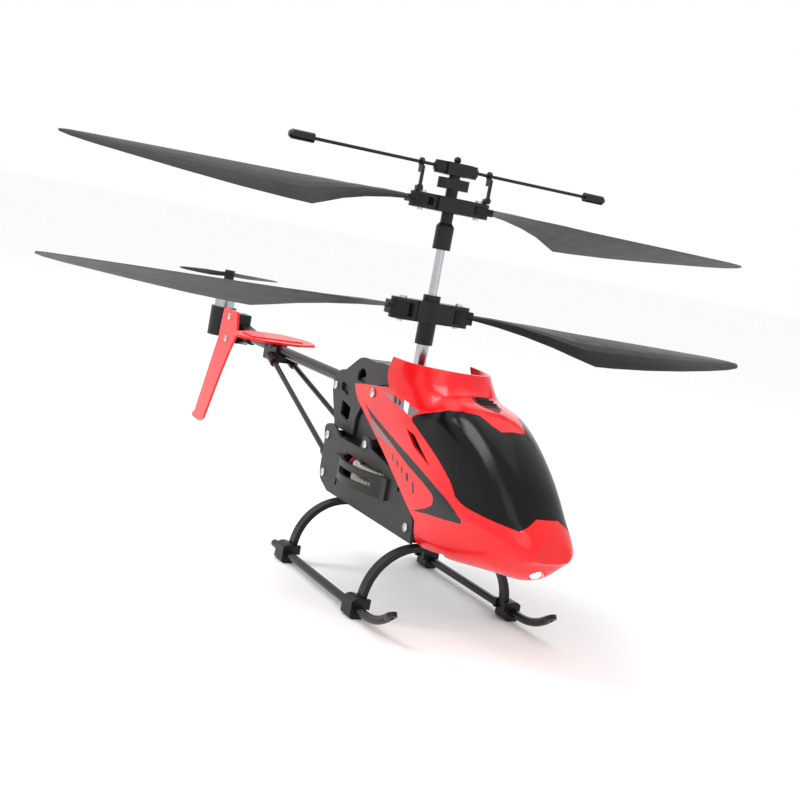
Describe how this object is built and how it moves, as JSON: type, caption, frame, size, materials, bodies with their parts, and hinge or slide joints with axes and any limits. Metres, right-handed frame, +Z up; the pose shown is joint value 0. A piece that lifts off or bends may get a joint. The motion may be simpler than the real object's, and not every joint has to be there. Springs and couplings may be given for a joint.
{
  "type": "remote control helicopter",
  "caption": "Coaxial remote control helicopter with counter-rotating rotors, a flybar, a red canopy with a dark windshield, a tail rotor and skids.",
  "frame": {"origin": "on the surface it stands on, under the middle of the overall length and width; the rotor mast stands 57 mm forward of it", "axes": "+X towards the nose, +Y to port (left), +Z up along the rotor mast"},
  "size_m": [0.3148, 0.2784, 0.1577],
  "materials": {
    "red_plastic": "gloss red moulded plastic",
    "dark_glass": "gloss black tinted plastic",
    "frame_grey": "satin dark grey plastic",
    "black_plastic": "satin black plastic",
    "rotor_black": "satin black flexible plastic",
    "black_tube": "gloss black tube",
    "chrome_shaft": "polished",
    "motor_can": "plated",
    "screw_steel": "nickel plated",
    "gear_nylon": "moulded nylon",
    "brass": "turned",
    "battery_foil": "foil pouch",
    "board_green": "lacquered circuit board",
    "switch_metal": "stamped case",
    "socket_white": "moulded",
    "lamp_clear": "clear lens",
    "wire_pink": "soft insulation"
  },
  "bodies": {
    "airframe": {"chassis_floor": "black_plastic", "motor_deck": "black_plastic", "top_frame": "black_plastic", "upper_plate_left": "frame_grey", "upper_plate_right": "frame_grey", "lower_plate_left": "frame_grey", "lower_plate_right": "frame_grey", "gear_guards": "frame_grey", "shaft_bushes": "brass", "motor_front": "motor_can", "motor_rear": "motor_can", "body_screws": "screw_steel", "canopy": "red_plastic", "windshield": "dark_glass", "nose_lamp": "lamp_clear", "battery": "battery_foil", "battery_tray": "black_plastic", "circuit_board": "board_green", "switch_body": "switch_metal", "charge_socket": "socket_white", "wire_leads": "wire_pink", "tail_boom": "black_tube", "boom_clamp": "black_plastic", "support_rods": "black_tube", "tail_bracket": "black_plastic", "tail_motor": "motor_can", "vertical_fin": "red_plastic", "stabiliser": "red_plastic", "tail_screws": "screw_steel", "skid_left": "black_tube", "skid_right": "black_tube", "skid_clamps": "black_plastic", "strut_front": "black_plastic", "strut_rear": "black_plastic"},
    "upper_rotor": {"inner_shaft": "chrome_shaft", "upper_gear": "gear_nylon", "upper_collar": "black_plastic", "rotor_head": "black_plastic"},
    "blade_grip": {"upper_grip": "black_plastic", "upper_pins": "screw_steel"},
    "port_upper_blade": {"upper_blade_left": "rotor_black"},
    "starboard_upper_blade": {"upper_blade_right": "rotor_black"},
    "flybar": {"flybar_hub": "black_plastic", "flybar_rods": "black_tube", "flybar_weights": "black_tube"},
    "port_link": {"link_left": "black_plastic"},
    "starboard_link": {"link_right": "black_plastic"},
    "lower_rotor": {"outer_shaft": "chrome_shaft", "lower_gear": "gear_nylon", "lower_hub": "black_plastic", "lower_collar": "black_plastic", "lower_pins": "screw_steel"},
    "port_lower_blade": {"lower_blade_left": "rotor_black"},
    "starboard_lower_blade": {"lower_blade_right": "rotor_black"},
    "front_pinion": {"pinion_front": "brass"},
    "rear_pinion": {"pinion_rear": "brass"},
    "tail_propeller": {"tail_shaft": "chrome_shaft", "tail_rotor": "rotor_black"},
    "power_switch": {"switch_slider": "black_plastic"}
  },
  "joints": [
    {"name": "upper_rotor_spin", "type": "hinge", "parent": "airframe", "child": "upper_rotor", "pos_m": [0.057, 0, 0.1403], "axis": [0, 0, 1], "continuous": true},
    {"name": "rear_pinion_spin", "type": "hinge", "parent": "airframe", "child": "rear_pinion", "pos_m": [0.03768, 0, 0.037], "axis": [0, 0, 1], "continuous": true},
    {"name": "lower_rotor_spin", "type": "hinge", "parent": "airframe", "child": "lower_rotor", "pos_m": [0.057, 0, 0.1013], "axis": [0, 0, 1], "continuous": true},
    {"name": "front_pinion_spin", "type": "hinge", "parent": "airframe", "child": "front_pinion", "pos_m": [0.07632, 0, 0.041], "axis": [0, 0, 1], "continuous": true},
    {"name": "flybar_teeter", "type": "hinge", "parent": "upper_rotor", "child": "flybar", "pos_m": [0.057, 0, 0.1523], "axis": [0.9981, -0.061, 0], "range_deg": [-10, 10]},
    {"name": "grip_teeter", "type": "hinge", "parent": "upper_rotor", "child": "blade_grip", "pos_m": [0.057, 0, 0.1403], "axis": [0.9981, -0.061, 0], "range_deg": [-10, 10]},
    {"name": "port_link_swing", "type": "hinge", "parent": "blade_grip", "child": "port_link", "pos_m": [0.05784, 0.01377, 0.1444], "axis": [0.9981, -0.061, 0], "range_deg": [-14, 14]},
    {"name": "starboard_link_swing", "type": "hinge", "parent": "blade_grip", "child": "starboard_link", "pos_m": [0.05616, -0.01377, 0.1444], "axis": [0.9981, -0.061, 0], "range_deg": [-14, 14]},
    {"name": "port_upper_fold", "type": "hinge", "parent": "blade_grip", "child": "port_upper_blade", "pos_m": [0.0577, 0.01138, 0.1403], "axis": [0, 0, 1], "range_deg": [-75, 75]},
    {"name": "starboard_upper_fold", "type": "hinge", "parent": "blade_grip", "child": "starboard_upper_blade", "pos_m": [0.0563, -0.01138, 0.1403], "axis": [0, 0, 1], "range_deg": [-75, 75]},
    {"name": "port_lower_fold", "type": "hinge", "parent": "lower_rotor", "child": "port_lower_blade", "pos_m": [0.0577, 0.01138, 0.1013], "axis": [0, 0, 1], "range_deg": [-75, 75]},
    {"name": "starboard_lower_fold", "type": "hinge", "parent": "lower_rotor", "child": "starboard_lower_blade", "pos_m": [0.0563, -0.01138, 0.1013], "axis": [0, 0, 1], "range_deg": [-75, 75]},
    {"name": "tail_rotor_spin", "type": "hinge", "parent": "airframe", "child": "tail_propeller", "pos_m": [-0.151, 0, 0.0914], "axis": [0, 0, 1], "continuous": true},
    {"name": "power_switch_slide", "type": "slide", "parent": "airframe", "child": "power_switch", "axis": [1, 0, 0], "range_m": [0, 0.0024]}
  ],
  "couplings": [
    {"joint": "rear_pinion_spin", "follows": "upper_rotor_spin", "ratio": -7},
    {"joint": "front_pinion_spin", "follows": "lower_rotor_spin", "ratio": -7},
    {"joint": "grip_teeter", "follows": "flybar_teeter", "ratio": 1},
    {"joint": "port_link_swing", "follows": "flybar_teeter", "ratio": -1.348},
    {"joint": "starboard_link_swing", "follows": "flybar_teeter", "ratio": -1.348}
  ]
}
